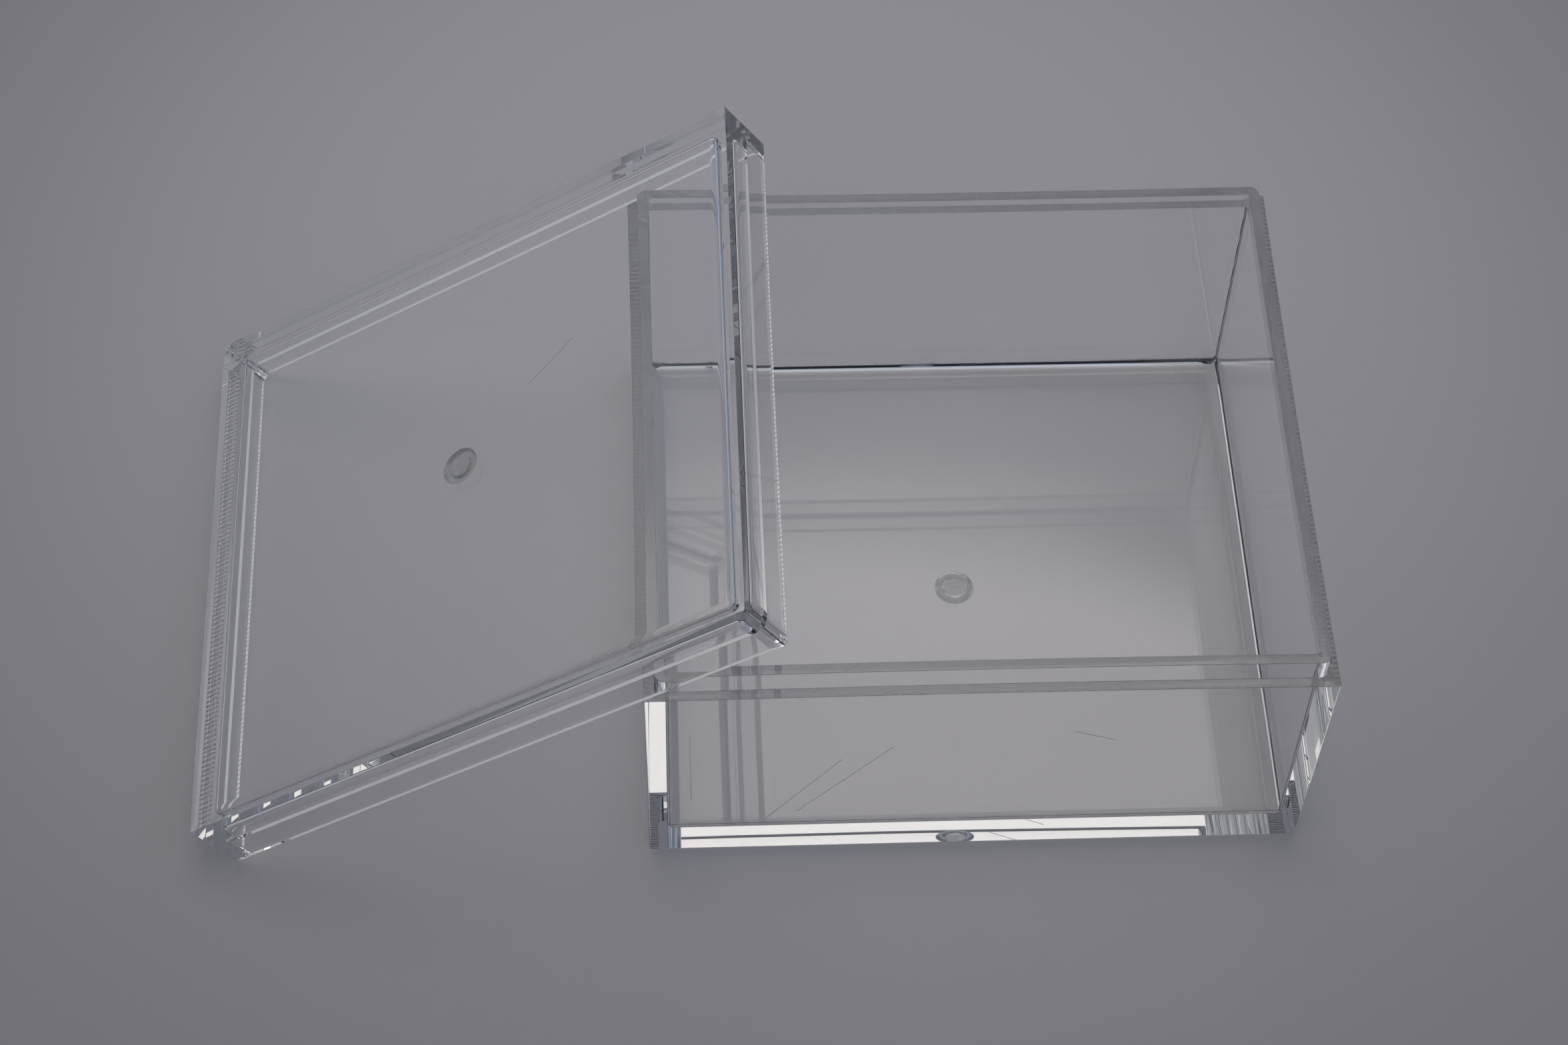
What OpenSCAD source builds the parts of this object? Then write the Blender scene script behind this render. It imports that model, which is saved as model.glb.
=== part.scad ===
// Clear moulded storage box: an open base and a shallow lid leaning on its left wall.
// Origin: centre of the base's underside. X along the long side, Y towards the back, Z up.

/* [Base] */
// length of the base along X
body_w = 95; // [70:0.5:160]
// depth of the base along Y
body_d = 88; // [60:0.5:150]
// height of the ledge that the closed lid sits on
ledge_z = 40.5; // [30:0.5:90]
// thickness of the base's four walls
wall_t = 3; // [2.4:0.1:4]
// thickness of the base's floor
floor_t = 3.4; // [2.4:0.1:5]
// radius of the cavity's corners and of its bottom edge
cavity_r = 2; // [1:0.25:4]

/* [Closing rim] */
// height of the lip above the ledge
lip_h = 3.7; // [2.5:0.1:6]
// width of the ledge outside the lip
ledge_w = 1.45; // [1.3:0.05:1.6]
// radius of the lip's outer corners
lip_r = 1.5; // [0.5:0.1:3]
// gap between the lip and the skirt of the closed lid
skirt_gap = 0.25; // [0.1:0.05:0.35]
// gap above the lip when the lid is closed
lip_top_gap = 0.4; // [0.2:0.1:1]

/* [Lid] */
// height of the lid from its rim to its outer face
lid_h = 10.2; // [8.5:0.1:16]
// thickness of the lid's plate
plate_t = 3.3; // [2.4:0.1:4]
// thickness of the lid's walls above the skirt
lid_wall_t = 2.7; // [2.3:0.1:3.5]
// radius of the lid's inside corners and of the edge under its plate
lid_r = 1.2; // [0.5:0.1:2]

/* [Leaning lid] */
// distance on the floor from the lid's resting edge to the base's left face
lean_run = 59; // [50:0.5:64]
// gap left between the lid's rim and the ledge it leans on
lean_gap = 0.1; // [0.05:0.05:0.3]

/* [Gate marks] */
// outer diameter of the ring round each moulding gate mark
gate_d = 5.8; // [4:0.2:8]
// diameter of the stub left inside the ring
stub_d = 4.2; // [2:0.2:5]
// depth of the ring
gate_depth = 0.8; // [0.4:0.1:1]

/* [Hidden] */
$fn = 64;
base_h = ledge_z + lip_h;
skirt_t = ledge_w - skirt_gap;
rabbet_h = lip_h + lip_top_gap;
rabbet_r = lip_r + skirt_gap;
lean_tilt = atan((ledge_z + lean_gap) / lean_run);
lean_x = -body_w / 2 - lean_run;

// flat rectangle with round corners, centred
module round_rect(w, d, r) {
  union() {
    square([w - 2 * r, d], center = true);
    square([w, d - 2 * r], center = true);
    for (sx = [-1, 1], sy = [-1, 1])
      translate([sx * (w / 2 - r), sy * (d / 2 - r)]) circle(r = r);
  }
}

// block with round upright corners and a round bottom edge, standing on z = 0
module soft_block(w, d, h, r) {
  x = w / 2 - r;
  y = d / 2 - r;
  union() {
    translate([0, 0, r]) linear_extrude(height = h - r) round_rect(w, d, r);
    translate([-x, -y, 0]) cube([2 * x, 2 * y, 2 * r]);
    for (sy = [-1, 1]) translate([-x, sy * y, r]) rotate([0, 90, 0]) cylinder(h = 2 * x, r = r);
    for (sx = [-1, 1]) translate([sx * x, -y, r]) rotate([-90, 0, 0]) cylinder(h = 2 * y, r = r);
    for (sx = [-1, 1], sy = [-1, 1]) translate([sx * x, sy * y, r]) sphere(r = r);
  }
}

// ring sunk into a face that lies at z = 0 with the plastic above it
module gate_ring() {
  difference() {
    translate([0, 0, -1]) cylinder(h = 1 + gate_depth, d = gate_d);
    translate([0, 0, -2]) cylinder(h = gate_depth + 3, d = stub_d);
  }
}

// open base with the ledge and the lip of its rim
module base() {
  color([0.82, 0.85, 0.87, 0.45])
  difference() {
    union() {
      translate([-body_w / 2, -body_d / 2, 0]) cube([body_w, body_d, ledge_z]);
      translate([0, 0, ledge_z / 2]) linear_extrude(height = base_h - ledge_z / 2)
        round_rect(body_w - 2 * ledge_w, body_d - 2 * ledge_w, lip_r);
    }
    translate([0, 0, floor_t])
      soft_block(body_w - 2 * wall_t, body_d - 2 * wall_t, base_h, cavity_r);
    gate_ring();
  }
}

// lid with its rim on z = 0 and its plate on top
module lid_closed() {
  difference() {
    translate([-body_w / 2, -body_d / 2, 0]) cube([body_w, body_d, lid_h]);
    translate([0, 0, lid_h - plate_t]) rotate([180, 0, 0])
      soft_block(body_w - 2 * lid_wall_t, body_d - 2 * lid_wall_t, lid_h, lid_r);
    translate([0, 0, -1]) linear_extrude(height = 1 + rabbet_h)
      round_rect(body_w - 2 * skirt_t, body_d - 2 * skirt_t, rabbet_r);
    translate([0, 0, lid_h]) rotate([180, 0, 0]) gate_ring();
  }
}

// lid leaning on the left wall of the base, its resting edge on the floor
module lid() {
  color([0.82, 0.85, 0.87, 0.45])
  translate([lean_x, 0, 0]) rotate([0, -lean_tilt, 0])
    translate([body_w / 2, 0, 0]) lid_closed();
}

base();
lid();
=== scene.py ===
# %% [markdown]
# # A clear moulded box with its lid leaning on it
# The object is two pieces of clear, stiff plastic. All that the eye gets from clear plastic is bent and
# mirrored light, so three things make the picture: exact walls and steps, the small faults of the moulded
# surface, and a room to mirror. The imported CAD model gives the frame: every length here is in metres, in it.

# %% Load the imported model
import math

import bmesh
import bpy
from mathutils import Matrix, Vector


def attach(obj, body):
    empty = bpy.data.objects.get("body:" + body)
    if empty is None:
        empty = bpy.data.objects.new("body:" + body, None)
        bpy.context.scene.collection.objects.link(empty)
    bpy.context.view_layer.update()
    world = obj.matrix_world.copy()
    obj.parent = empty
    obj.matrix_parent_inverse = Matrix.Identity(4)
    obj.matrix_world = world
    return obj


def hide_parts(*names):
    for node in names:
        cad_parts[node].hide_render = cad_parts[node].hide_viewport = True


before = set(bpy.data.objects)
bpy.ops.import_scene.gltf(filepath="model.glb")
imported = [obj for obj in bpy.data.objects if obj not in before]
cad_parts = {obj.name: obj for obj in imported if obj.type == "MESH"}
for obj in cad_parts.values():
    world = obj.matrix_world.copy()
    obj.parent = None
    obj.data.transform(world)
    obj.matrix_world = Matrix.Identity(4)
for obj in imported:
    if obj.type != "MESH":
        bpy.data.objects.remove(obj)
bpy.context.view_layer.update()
MM = 0.001

# %% [markdown]
# ## Camera
# Lines that are parallel on the box meet in the photograph, which fixes the lens and the place of the
# camera: a short telephoto lens, about half a metre away, looking down by 55 degrees. It could be set by
# eye, but every edge and reflection in clear plastic depends on it, so its values come from a fit to the
# box's edges and corners.

# %% Camera
SENSOR_MM = 36.0
FOCAL_PX, IMAGE_W = 5052.8, 2352
CAMERA_AT_MM = (-45.9, -287.3, 425.7)
TILT, ROLL, TURN = math.radians(35.34), math.radians(2.01), math.radians(-3.90)
camera_data = bpy.data.cameras.new("camera")
camera_data.sensor_width = SENSOR_MM
camera_data.lens = FOCAL_PX / IMAGE_W * SENSOR_MM
camera_data.clip_start, camera_data.clip_end = 0.01, 50.0
camera = bpy.data.objects.new("camera", camera_data)
camera.matrix_world = (Matrix.Translation(Vector(CAMERA_AT_MM) * MM) @ Matrix.Rotation(TURN, 4, "Z")
                       @ Matrix.Rotation(TILT, 4, "X") @ Matrix.Rotation(ROLL, 4, "Z"))
bpy.context.scene.collection.objects.link(camera)
bpy.context.scene.camera = camera
print("lens", round(camera_data.lens, 1), "mm")

# %% [markdown]
# ## Rings
# A moulded box is a stack of level outlines: rectangles with round corners, each a little in or out from the
# last. Joining one outline to the next with quads makes a closed body whose small edge rounds are true arcs.
# Booleans and bevel modifiers could make it too, but rings give exact control of every edge that the light
# finds, and each band between two rings can have its own finish.

# %% Outlines
CORNER_STEPS, SIDE_STEPS = 10, 36


def outline(width, depth, radius, z, bow=0.0):
    """Points of a rectangle with round corners. bow draws the middle of each side in."""
    points = []
    x, y = width / 2 - radius, depth / 2 - radius
    corners = [(x, y), (-x, y), (-x, -y), (x, -y)]
    for quarter, (cx, cy) in enumerate(corners):
        for step in range(CORNER_STEPS + 1):
            angle = math.pi / 2 * (quarter + step / CORNER_STEPS)
            points.append(Vector((cx + radius * math.cos(angle), cy + radius * math.sin(angle), z)))
        nx, ny = corners[(quarter + 1) % 4]
        outward = math.pi / 2 * (quarter + 1)
        start = points[-1].copy()
        end = Vector((nx + radius * math.cos(outward), ny + radius * math.sin(outward), z))
        for step in range(1, SIDE_STEPS):
            t = step / SIDE_STEPS
            inward = Vector((-math.cos(outward), -math.sin(outward), 0)) * bow * 4 * t * (1 - t)
            points.append(start.lerp(end, t) + inward)
    return points


def disc_outline(like, radius, z):
    """A circle with one point for each point of another outline, at the same bearings."""
    bearings = [math.atan2(p.y, p.x) for p in like]
    return [Vector((radius * math.cos(a), radius * math.sin(a), z)) for a in bearings]


def arc(start, end, centre, steps=4):
    """Profile points (inset, height) on the quarter circle from start to end."""
    a0 = math.atan2(start[1] - centre[1], start[0] - centre[0])
    a1 = math.atan2(end[1] - centre[1], end[0] - centre[0])
    a1 += 2 * math.pi * round((a0 - a1) / (2 * math.pi))
    r = math.dist(start, centre)
    return [(centre[0] + r * math.cos(a0 + (a1 - a0) * k / steps),
             centre[1] + r * math.sin(a0 + (a1 - a0) * k / steps)) for k in range(steps + 1)]


print("points in a ring", len(outline(2, 2, 0.1, 0)))

# %% Skin
POLISHED, MACHINED, TORN = 0, 1, 2  # the order of the three finishes on both pieces


def skin(name, bands):
    """Joins each ring to the next and closes both ends. bands lists rings, each with the finish of the faces
    from it to the next one, or a pair of finishes: at the front and back, and at the left and right."""
    mesh = bmesh.new()
    loops = [[mesh.verts.new(p) for p in ring] for ring, _ in bands]
    for lower, upper, (_, finish) in zip(loops, loops[1:], bands):
        pair = finish if isinstance(finish, tuple) else (finish, finish)
        for k in range(len(lower)):
            n = (k + 1) % len(lower)
            face = mesh.faces.new((lower[k], lower[n], upper[n], upper[k]))
            face.material_index = pair[k // (CORNER_STEPS + SIDE_STEPS) % 2]
    mesh.faces.new(loops[-1]).material_index = POLISHED
    mesh.faces.new(list(reversed(loops[0]))).material_index = TORN
    bmesh.ops.recalc_face_normals(mesh, faces=mesh.faces)
    for face in mesh.faces:
        face.smooth = True
    data = bpy.data.meshes.new(name)
    mesh.to_mesh(data)
    mesh.free()
    piece = bpy.data.objects.new(name, data)
    bpy.context.scene.collection.objects.link(piece)
    # Large faces win at a shared edge, so they shade flat, and only the small rounds between them bend.
    weigh = piece.modifiers.new("flat faces stay flat", "WEIGHTED_NORMAL")
    weigh.weight, weigh.keep_sharp = 100, True
    print(name, "faces", len(data.polygons))
    return piece


# %% [markdown]
# ## Sizes
# The wall, floor, ledge, lip, skirt and lean repeat the CAD model's values, so that the visible box and the
# solid one are the same size. The finer values are for the eye only: the round that polished steel leaves
# on every edge, the draft that lets the box out of its mould, the walls' slight bow after cooling, and the
# small rounds inside. They could be modifiers, but as numbers in the outlines each edge gets its own.

# %% Sizes
BODY_W, BODY_D = 95 * MM, 88 * MM
LEDGE_Z, LIP_H, LEDGE_W, LIP_R = 40.5 * MM, 3.7 * MM, 1.45 * MM, 1.5 * MM
WALL_T, FLOOR_T = 3.0 * MM, 3.4 * MM
SKIRT_GAP, LIP_TOP_GAP = 0.25 * MM, 0.4 * MM
LID_H, PLATE_T, LID_WALL_T, LID_R = 10.2 * MM, 3.3 * MM, 2.7 * MM, 1.2 * MM
LEAN_RUN, LEAN_GAP = 59 * MM, 0.1 * MM
GATE_R = 2.9 * MM
BASE_H, SKIRT_T, REBATE_H = LEDGE_Z + LIP_H, LEDGE_W - SKIRT_GAP, LIP_H + LIP_TOP_GAP
print("base", [round(v / MM, 2) for v in (BODY_W, BODY_D, BASE_H)], "mm, lid", round(LID_H / MM, 2), "mm")

# %% Finer sizes
EDGE_R, BOTTOM_EDGE_R = 0.08 * MM, 0.03 * MM  # the underside's edge is where the mould's halves meet
OUTER_CORNER_R, INNER_CORNER_R, FLOOR_FILLET = 0.25 * MM, 0.7 * MM, 2.0 * MM
SMALLEST_R = 0.1 * MM
DRAFT, BOW = 0.45 * MM, 0.22 * MM
LID_RIM_BOW, LID_INNER_BOW = 0.6 * BOW, 0.4 * BOW  # the plate holds the lid's short walls straighter
print("edge round", EDGE_R / MM, "mm, draft", DRAFT / MM, "mm")

# %% Bands


def bands(profile, radius, bow=0.0, finish=POLISHED, shrink=False):
    """A ring of the body's outline for each profile point, with its finish. shrink is for the rounds at a
    floor: the corner's radius gets smaller as the rings go in."""
    made = []
    for inset, z in profile:
        corner = max(radius - (inset - profile[0][0]), SMALLEST_R) if shrink else radius
        made.append((outline(BODY_W - 2 * inset, BODY_D - 2 * inset, corner, z, bow), finish))
    return made


# %% [markdown]
# ## Gate mark
# The melt came in through the middle of each piece, and the stub that it left was broken off. What stays is
# a round groove with a low, rough core. It could be a bump only, but the groove's slopes bend the light so
# much that they have to be real, so the mark is a set of round rings, and only its torn skin is a bump.

# %% Gate mark
# Each ring: how far inside the mark's edge it lies and how deep, in millimetres.
GATE_PROFILE = [(-0.1, 0), (0, 0.06), (0.2, 0.28), (0.5, 0.44), (0.85, 0.46), (1.1, 0.34), (1.25, 0.14),
                (1.4, 0.05), (1.7, 0.16), (2.1, 0.06), (2.5, 0.2)]


def gate_bands(like, z, inward):
    """The mark in a level face at z, from its middle to its edge. inward is 1 where the plastic is above."""
    rings = [disc_outline(like, GATE_R - x * MM, z + inward * depth * MM) for x, depth in GATE_PROFILE]
    finishes = [POLISHED] + [TORN] * (len(rings) - 1)
    return list(reversed(list(zip(rings, finishes))))


print("gate mark", 2 * GATE_R / MM, "mm wide")

# %% [markdown]
# ## Base
# An open box with a stepped rim: a ledge that the lid's rim lies on, and a lip that goes up inside the lid.
# The rings start in the middle of the underside, with the gate mark, go out and up the wall, over the ledge
# and the lip, and down inside to the floor. The outer wall leans in by the mould's draft towards the bottom.
# A thickened open shell could make it too, but its walls would have one thickness and no step.

# %% Base mesh


def base_bands():
    """From the underside's edge, up, over the rim and down to the inside floor."""
    e, f, r = EDGE_R, BOTTOM_EDGE_R, FLOOR_FILLET
    bottom = arc((DRAFT + f, 0), (DRAFT, f), (DRAFT + f, f))
    ledge_edge = arc((0, LEDGE_Z - e), (e, LEDGE_Z), (e, LEDGE_Z - e))
    lip_foot = arc((LEDGE_W - e, LEDGE_Z), (LEDGE_W, LEDGE_Z + e), (LEDGE_W - e, LEDGE_Z + e), 3)
    lip_outside = arc((LEDGE_W, BASE_H - e), (LEDGE_W + e, BASE_H), (LEDGE_W + e, BASE_H - e))
    lip_inside = arc((WALL_T - e, BASE_H), (WALL_T, BASE_H - e), (WALL_T - e, BASE_H - e))
    floor = arc((WALL_T, FLOOR_T + r), (WALL_T + r, FLOOR_T), (WALL_T + r, FLOOR_T + r), 12)
    return (bands(bottom, OUTER_CORNER_R) + bands(ledge_edge, OUTER_CORNER_R, BOW, (POLISHED, MACHINED))
            + bands(lip_foot, LIP_R, BOW) + bands(lip_outside, LIP_R, BOW)
            + bands(lip_inside, INNER_CORNER_R, BOW) + bands(floor, INNER_CORNER_R, shrink=True))


base_skin = base_bands()
base_piece = skin("clear_base", gate_bands(base_skin[0][0], 0.0, 1) + base_skin)

# %% [markdown]
# ## Lid
# The lid is a shallow tray with a thick plate and, inside its rim, a rebate that leaves a thin skirt to go
# round the lip. It is made lying on its rim, as it sits when closed, and then its mesh is turned and moved
# to where it leans. The object could be turned instead, but it stays at the origin of the CAD's frame.

# %% Lid mesh


def lid_bands():
    """From the plate's outer face, down the wall, under the rim, and up inside to the plate."""
    e, r, plate = EDGE_R, LID_R, LID_H - PLATE_T
    top = arc((e, LID_H), (0, LID_H - e), (e, LID_H - e))
    rim_outside = arc((0, e), (e, 0), (e, e))
    rim_inside = arc((SKIRT_T - e, 0), (SKIRT_T, e), (SKIRT_T - e, e))
    rebate = arc((SKIRT_T, REBATE_H - e), (SKIRT_T + e, REBATE_H), (SKIRT_T + e, REBATE_H - e), 3)
    step = arc((LID_WALL_T - e, REBATE_H), (LID_WALL_T, REBATE_H + e), (LID_WALL_T - e, REBATE_H + e))
    inside = arc((LID_WALL_T, plate - r), (LID_WALL_T + r, plate), (LID_WALL_T + r, plate - r), 10)
    skirt_r = LIP_R + SKIRT_GAP
    return (bands(top, OUTER_CORNER_R)
            + bands(rim_outside, OUTER_CORNER_R, LID_RIM_BOW, (POLISHED, MACHINED))
            + bands(rim_inside, skirt_r, LID_RIM_BOW) + bands(rebate, skirt_r, LID_INNER_BOW)
            + bands(step, LID_R, LID_INNER_BOW) + bands(inside, LID_R, shrink=True))


lid_skin = lid_bands()
lid_piece = skin("clear_lid", gate_bands(lid_skin[0][0], LID_H, -1) + lid_skin)

# %% Lean the lid on the ledge
LEAN_TILT = math.atan((LEDGE_Z + LEAN_GAP) / LEAN_RUN)
lean = (Matrix.Translation((-BODY_W / 2 - LEAN_RUN, 0, 0)) @ Matrix.Rotation(-LEAN_TILT, 4, "Y")
        @ Matrix.Translation((BODY_W / 2, 0, 0)))
lid_piece.data.transform(lean)
print("lid tilt", round(math.degrees(LEAN_TILT), 2), "degrees")

# %% [markdown]
# ## Clear acrylic, moulded against polished steel
# The eye gets a bent view through it, a weak mirror at every face, and total reflection inside the thick
# edges, which light up where they find the window and go dark where they find the wall. A Glass shader would
# do for a pane. Principled with full transmission is used, because it keeps its values when the model is
# exported. The weak grey tint is a volume, because it deepens with the length of the light's path.

# %% Node helpers


def colour(hex_code):
    """sRGB hex to the linear colour that shaders work in."""
    parts = [int(hex_code[k:k + 2], 16) / 255 for k in (1, 3, 5)]
    return [c / 12.92 if c <= 0.04045 else ((c + 0.055) / 1.055) ** 2.4 for c in parts] + [1.0]


def add_node(tree, kind, settings=None, **links):
    """Adds a node. settings are its properties. links are its inputs, by name or as i and a number, each a
    value or another node's output."""
    node = tree.nodes.new(kind)
    for key, value in (settings or {}).items():
        setattr(node, key, value)
    for key, value in links.items():
        numbered = key[0] == "i" and key[1:].isdigit()
        socket = node.inputs[int(key[1:]) if numbered else key.replace("_", " ")]
        if isinstance(value, bpy.types.NodeSocket):
            tree.links.new(value, socket)
        else:
            socket.default_value = value
    return node


# %% Clear plastic
PLASTIC_IOR = 1.57  # between acrylic, 1.49, and clear polystyrene, 1.59, which look the same in a photograph
TINT, TINT_PER_METRE = "#999fa9", 8.0


def clear_plastic(name, roughness, build_bump, clear=1.0):
    """The plastic of both pieces, with the relief of one finish. clear is the share of light let through."""
    material = bpy.data.materials.new(name)
    material.use_nodes = True
    tree = material.node_tree
    tree.nodes.clear()
    out = add_node(tree, "ShaderNodeOutputMaterial")
    shader = add_node(tree, "ShaderNodeBsdfPrincipled", Base_Color=colour("#ffffff"), Roughness=roughness,
                      IOR=PLASTIC_IOR, Transmission_Weight=clear)
    body = add_node(tree, "ShaderNodeVolumeAbsorption", Color=colour(TINT), Density=TINT_PER_METRE)
    tree.links.new(body.outputs[0], out.inputs["Volume"])
    build_bump(tree, shader)
    tree.links.new(shader.outputs[0], out.inputs["Surface"])
    return material


# %% [markdown]
# ## What is left on the surface
# A polished face isn't flat: the melt leaves broad, shallow waves, and use leaves a few fine scratches. The
# rim at the left and right carries the lines of a cutter. The gate mark's skin is torn into small lumps.
# All three could be painted, but clear plastic shows only slopes, so each is a height that bends light.

# %% Scratches


def on_front(x, z):
    """The point of the base's front face at x and z, all in millimetres, with the wall's draft and bow."""
    t = 0.5 + x * MM / BODY_W
    inset = DRAFT * (1 - z * MM / LEDGE_Z) + BOW * 4 * t * (1 - t) * z * MM / LEDGE_Z
    return Vector((x * MM, -BODY_D / 2 + inset, z * MM))


def on_floor(x, y):
    return Vector((x * MM, y * MM, FLOOR_T))


def on_lid(x, y):
    """The point of the leaning lid's outer face at x and y of the lid when closed, in millimetres."""
    return lean @ Vector((x * MM, y * MM, LID_H))


# Each scratch: where it starts and ends, and half its width in millimetres. The real ones are finer. These
# are as coarse as they need to be to show.
SCRATCHES = [(on_front(-41.2, 31), on_front(-41.0, 14), 0.13),
             (on_front(-30.5, 8), on_front(-20, 24), 0.1),
             (on_front(-26, 10), on_front(-13, 27), 0.09),
             (on_front(12, 30), on_front(18, 27.5), 0.1),
             (on_floor(6, 18), on_floor(14.5, 10), 0.1),
             (on_lid(12, 9), on_lid(20, 14), 0.1)]
print("scratches", len(SCRATCHES))


def scratch(tree, where, start, end, width):
    """1 on a straight scratch between two points, 0 beside it."""
    run = end - start
    off = add_node(tree, "ShaderNodeVectorMath", {"operation": "SUBTRACT"}, i0=where, i1=start)
    along = add_node(tree, "ShaderNodeVectorMath", {"operation": "DOT_PRODUCT"}, i0=off.outputs[0],
                     i1=run / run.length_squared)
    clip = add_node(tree, "ShaderNodeClamp", Value=along.outputs["Value"])
    foot = add_node(tree, "ShaderNodeVectorMath", {"operation": "SCALE"}, i0=run, Scale=clip.outputs[0])
    beside = add_node(tree, "ShaderNodeVectorMath", {"operation": "DISTANCE"}, i0=off.outputs[0],
                      i1=foot.outputs[0])
    return add_node(tree, "ShaderNodeMapRange", {"interpolation_type": "SMOOTHSTEP"},
                    Value=beside.outputs["Value"], From_Min=0.0, From_Max=width * MM,
                    To_Min=1.0, To_Max=0.0).outputs[0]


# %% Surface relief
WAVE_LENGTH, WAVE_SHARE, SCRATCH_DEPTH = 40 * MM, 0.35, 0.03 * MM
CUT_SPACING, CUT_DEPTH = 0.8 * MM, 0.05 * MM  # coarser than the real cuts, so that they show
LUMP, LUMP_DEPTH = 0.9 * MM, 0.3 * MM
WAVE_UNIT = 0.314  # a wave texture of scale 1 repeats every 0.314 m


def moulded_relief(tree, shader):
    """Shallow waves, about 0.01 mm high, less the scratches."""
    where = add_node(tree, "ShaderNodeTexCoord").outputs["Object"]
    flow = add_node(tree, "ShaderNodeTexNoise", Vector=where, Scale=1 / WAVE_LENGTH, Detail=1.0)
    height = add_node(tree, "ShaderNodeMath", {"operation": "MULTIPLY"}, i0=flow.outputs[0], i1=WAVE_SHARE)
    for start, end, width in SCRATCHES:
        height = add_node(tree, "ShaderNodeMath", {"operation": "SUBTRACT"}, i0=height.outputs[0],
                          i1=scratch(tree, where, start, end, width))
    bump = add_node(tree, "ShaderNodeBump", Strength=1.0, Distance=SCRATCH_DEPTH, Height=height.outputs[0])
    tree.links.new(bump.outputs[0], shader.inputs["Normal"])


def cutter_relief(tree, shader):
    """Uneven lines across the rim."""
    where = add_node(tree, "ShaderNodeTexCoord").outputs["Object"]
    lines = add_node(tree, "ShaderNodeTexWave", {"wave_type": "BANDS", "bands_direction": "Y"}, Vector=where,
                     Scale=WAVE_UNIT / CUT_SPACING, Distortion=2.5, Detail=2.0, Detail_Scale=1.5)
    bump = add_node(tree, "ShaderNodeBump", Strength=0.7, Distance=CUT_DEPTH, Height=lines.outputs["Fac"])
    tree.links.new(bump.outputs[0], shader.inputs["Normal"])


def torn_relief(tree, shader):
    """Lumps with finer ones on them."""
    where = add_node(tree, "ShaderNodeTexCoord").outputs["Object"]
    lumps = add_node(tree, "ShaderNodeTexNoise", Vector=where, Scale=1 / LUMP, Detail=4.0)
    bump = add_node(tree, "ShaderNodeBump", Strength=1.0, Distance=LUMP_DEPTH, Height=lumps.outputs[0])
    tree.links.new(bump.outputs[0], shader.inputs["Normal"])


# %% Materials
# Polished steel leaves a face without haze: a sharp view through, and sharp edges of light.
polished = clear_plastic("acrylic_moulded_polished", 0.0, moulded_relief)
# A cutter leaves a slightly hazy band that catches light in short lines.
machined = clear_plastic("acrylic_rim_tool_marks", 0.12, cutter_relief)
# Broken plastic bends the light every way and scatters part of it, so the mark is a soft grey ring.
torn = clear_plastic("acrylic_gate_stub_torn", 0.03, torn_relief, 0.85)
print("materials", polished.name, machined.name, torn.name)

# %% [markdown]
# ## Dress the pieces
# Each piece gets the three finishes in the order that its bands name, rides on its body, and stands for its
# CAD solid, which stays behind it for collisions.

# %% Dress the two pieces
for piece, body, node, slot in ((base_piece, "base", "base", "base_plastic"),
                                (lid_piece, "lid", "lid", "lid_plastic")):
    for material in (polished, machined, torn):
        piece.data.materials.append(material)
    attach(piece, body)
    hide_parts(node)
    print(piece.name, "rides on", body)

# %% [markdown]
# ## Table
# The box stands on plain grey card. Its colour is painted paler around the box, a painted pool of light
# where the light falls, and darker further out. A backdrop with a curve would do as well, but the camera
# looks down and sees only the table. The card lies 0.08 mm under the box, because the renderer can't tell
# which comes first where plastic and card share a plane.

# %% Table sheet
TABLE_HALF, TABLE_Z = 3.0, -0.08 * MM
# Painted light: the middle and the inner and outer radii of a painted pool of light, inside which the card's
# colour is paler.
PAINTED_POOL_AT, PAINTED_POOL_INNER, PAINTED_POOL_OUTER = (-0.02, 0.06, 0.0), 0.05, 0.19
sheet_data = bpy.data.meshes.new("table_sheet")
corners = [(x * TABLE_HALF, y * TABLE_HALF, TABLE_Z) for x, y in ((-1, -1), (1, -1), (1, 1), (-1, 1))]
sheet_data.from_pydata(corners, [], [(0, 1, 2, 3)])
sheet = bpy.data.objects.new("table_sheet", sheet_data)
bpy.context.scene.collection.objects.link(sheet)
print("table", 2 * TABLE_HALF, "m wide")

# %% Grey card
# Pressed and matte: it scatters light evenly and shows no gloss.
card = bpy.data.materials.new("grey_card_matte_painted_light_pool")
card.use_nodes = True
tree = card.node_tree
tree.nodes.clear()
out = add_node(tree, "ShaderNodeOutputMaterial")
spot = add_node(tree, "ShaderNodeTexCoord").outputs["Object"]
reach = add_node(tree, "ShaderNodeVectorMath", {"operation": "DISTANCE"}, i0=spot, i1=PAINTED_POOL_AT)
painted_pool_fade = add_node(tree, "ShaderNodeMapRange", {"interpolation_type": "SMOOTHSTEP"},
                Value=reach.outputs["Value"], From_Min=PAINTED_POOL_INNER, From_Max=PAINTED_POOL_OUTER,
                To_Min=0.0, To_Max=1.0)
# Painted light: pale card near the box and darker card far off, a painted pool of light and not the card's own
# colour.
card_with_painted_pool = add_node(tree, "ShaderNodeMix", {"data_type": "RGBA"}, i0=painted_pool_fade.outputs[0],
                i6=colour("#b1afb4"), i7=colour("#8c8b8f"))
shader = add_node(tree, "ShaderNodeBsdfPrincipled", Base_Color=card_with_painted_pool.outputs[2], Roughness=0.9)
tree.links.new(shader.outputs[0], out.inputs["Surface"])
sheet_data.materials.append(card)
print("card nodes", len(tree.nodes))

# %% [markdown]
# ## Light
# The room is the only lamp. Area lamps would do for a solid object, but their shadow rays stop at the first
# face of clear plastic, while light from the room finds its way through. The room is a soft grey, brighter
# and warmer overhead and cooler low down, with one window high up in front of the camera. The thick floor
# edge and the front corners pipe that window to the eye. A darker part of the wall stands behind the box.

# %% Light helpers
world = bpy.data.worlds.new("soft_room")
bpy.context.scene.world = world
world.use_nodes = True
room = world.node_tree
room.nodes.clear()


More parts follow.
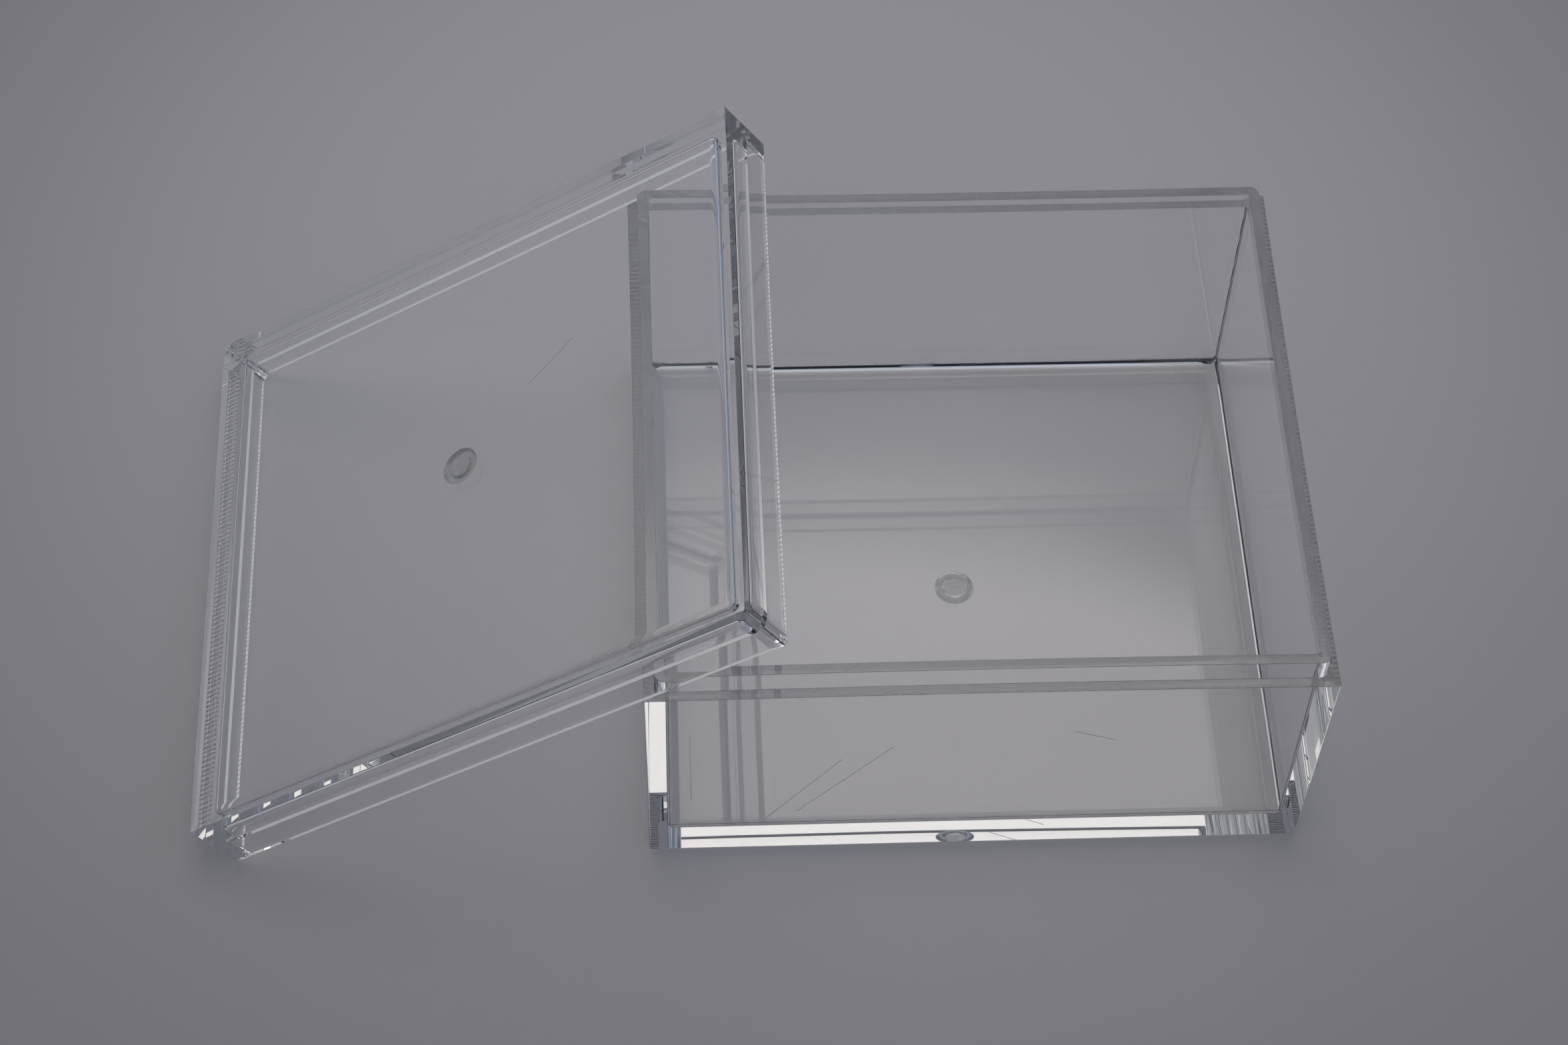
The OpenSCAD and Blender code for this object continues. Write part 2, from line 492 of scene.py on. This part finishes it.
def toward_sky(up, turn):
    """Unit vector to a place in the room: degrees above the table, and degrees from +Y towards +X."""
    up, turn = math.radians(up), math.radians(turn)
    return Vector((math.sin(turn) * math.cos(up), math.cos(turn) * math.cos(up), math.sin(up)))


def soft_patch(ray, up, turn, inner, outer, strength):
    """A round patch with a soft edge, from inner to outer degrees off its middle."""
    cosine = add_node(room, "ShaderNodeVectorMath", {"operation": "DOT_PRODUCT"}, i0=ray,
                      i1=toward_sky(up, turn))
    return add_node(room, "ShaderNodeMapRange", {"interpolation_type": "SMOOTHSTEP"},
                    Value=cosine.outputs["Value"], From_Min=math.cos(math.radians(outer)),
                    From_Max=math.cos(math.radians(inner)), To_Min=0.0, To_Max=strength).outputs[0]


# %% Room
WALL_LEVEL, CEILING_LEVEL, CEILING_FROM = 0.43, 0.64, 0.8
WARM_SIDE = (-0.6, 0.0, 1.0)  # the room is warmer overhead and to the left
ray = add_node(room, "ShaderNodeTexCoord").outputs["Generated"]
window = soft_patch(ray, up=72, turn=7, inner=16.2, outer=18.4, strength=1.05)
dark_wall = soft_patch(ray, up=44, turn=22, inner=9, outer=13, strength=0.42)
height = add_node(room, "ShaderNodeSeparateXYZ", Vector=ray)
ceiling = add_node(room, "ShaderNodeMapRange", {"interpolation_type": "SMOOTHSTEP"}, From_Min=0.0,
                   Value=height.outputs["Z"], From_Max=CEILING_FROM, To_Min=WALL_LEVEL, To_Max=CEILING_LEVEL)
level = add_node(room, "ShaderNodeMath", {"operation": "SUBTRACT"}, i0=ceiling.outputs[0], i1=dark_wall)
warmth = add_node(room, "ShaderNodeVectorMath", {"operation": "DOT_PRODUCT"}, i0=ray, i1=WARM_SIDE)
shade = add_node(room, "ShaderNodeMix", {"data_type": "RGBA"}, i0=warmth.outputs["Value"],
                 i6=colour("#bdd0ee"), i7=colour("#fffdfa"))
walls = add_node(room, "ShaderNodeBackground", Color=shade.outputs[2], Strength=level.outputs[0])
panes = add_node(room, "ShaderNodeBackground", Color=colour("#fff6ea"), Strength=window)
light = add_node(room, "ShaderNodeAddShader", i0=walls.outputs[0], i1=panes.outputs[0])
add_node(room, "ShaderNodeOutputWorld", Surface=light.outputs[0])
print("room nodes", len(room.nodes))

# %% [markdown]
# ## Light paths
# A ray that is caught in a wall meets many faces before it leaves, so the limits are high. The glossy filter
# is off: it blurs rays after the first bounce, and under clear plastic it loses about half of the light.

# %% Render settings
scene = bpy.context.scene
scene.view_settings.view_transform = "Standard"
scene.cycles.max_bounces = 32
scene.cycles.transmission_bounces = 32
scene.cycles.glossy_bounces = 24
scene.cycles.blur_glossy = 0.0
print("bounces", scene.cycles.max_bounces, "view", scene.view_settings.view_transform)
